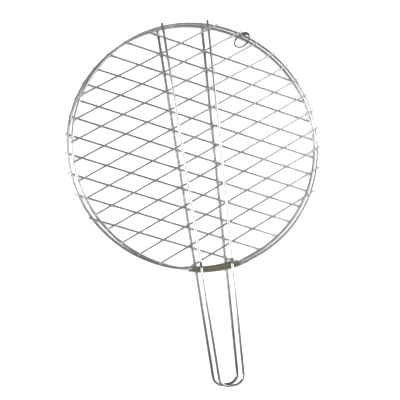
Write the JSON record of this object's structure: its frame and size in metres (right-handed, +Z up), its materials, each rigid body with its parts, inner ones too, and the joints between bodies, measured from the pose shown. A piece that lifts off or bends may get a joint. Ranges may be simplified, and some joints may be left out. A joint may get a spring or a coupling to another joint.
{
  "type": "hinged wire grill basket",
  "caption": "Round two-sided wire grill basket: two hinged halves of parallel cross wires in a hoop, with long hairpin handles and a loose link at the far edge.",
  "frame": {"origin": "the point under the lower (back) half's rim centre, on the surface that the closed basket lies on", "axes": "+Z up from that surface, towards the upper (front) half; -Y from the basket's centre towards the handles; +X to the right of someone looking down with the handles towards them"},
  "size_m": [0.3601, 0.5083, 0.0195],
  "materials": {
    "rim_wire": "bright drawn wire, zinc or nickel plated, with darker heat marks at the welded lap",
    "mesh_wire": "bright drawn wire, plated, spot-welded",
    "handle_wire": "bright drawn wire, plated",
    "link_wire": "duller wire, bent by hand and darker than the rims"
  },
  "bodies": {
    "back_half": {"back_rim_ring": "rim_wire", "back_handle": "handle_wire", "back_cross_wire_01": "mesh_wire", "back_cross_wire_02": "mesh_wire", "back_cross_wire_03": "mesh_wire", "back_cross_wire_04": "mesh_wire", "back_cross_wire_05": "mesh_wire", "back_cross_wire_06": "mesh_wire", "back_cross_wire_07": "mesh_wire", "back_cross_wire_08": "mesh_wire", "back_cross_wire_09": "mesh_wire", "back_cross_wire_10": "mesh_wire", "back_cross_wire_11": "mesh_wire", "back_cross_wire_12": "mesh_wire"},
    "front_half": {"front_rim_ring": "rim_wire", "front_handle": "handle_wire", "front_cross_wire_01": "mesh_wire", "front_cross_wire_02": "mesh_wire", "front_cross_wire_03": "mesh_wire", "front_cross_wire_04": "mesh_wire", "front_cross_wire_05": "mesh_wire", "front_cross_wire_06": "mesh_wire", "front_cross_wire_07": "mesh_wire", "front_cross_wire_08": "mesh_wire", "front_cross_wire_09": "mesh_wire", "front_cross_wire_10": "mesh_wire", "front_cross_wire_11": "mesh_wire", "front_cross_wire_12": "mesh_wire"},
    "link_ring": {"link_ring": "link_wire"}
  },
  "joints": [
    {"name": "basket_open", "type": "hinge", "parent": "back_half", "child": "front_half", "pos_m": [0.0917, 0.15262, 0.00935], "axis": [-0.8572, 0.515, 0], "range_deg": [0, 180]},
    {"name": "link_slide", "type": "slide", "parent": "back_half", "child": "link_ring", "axis": [0.515, 0.8572, 0], "range_m": [0, 0.0085]}
  ],
  "couplings": [
    {"joint": "link_slide", "follows": "basket_open", "m_per_rad": 0.002705}
  ]
}
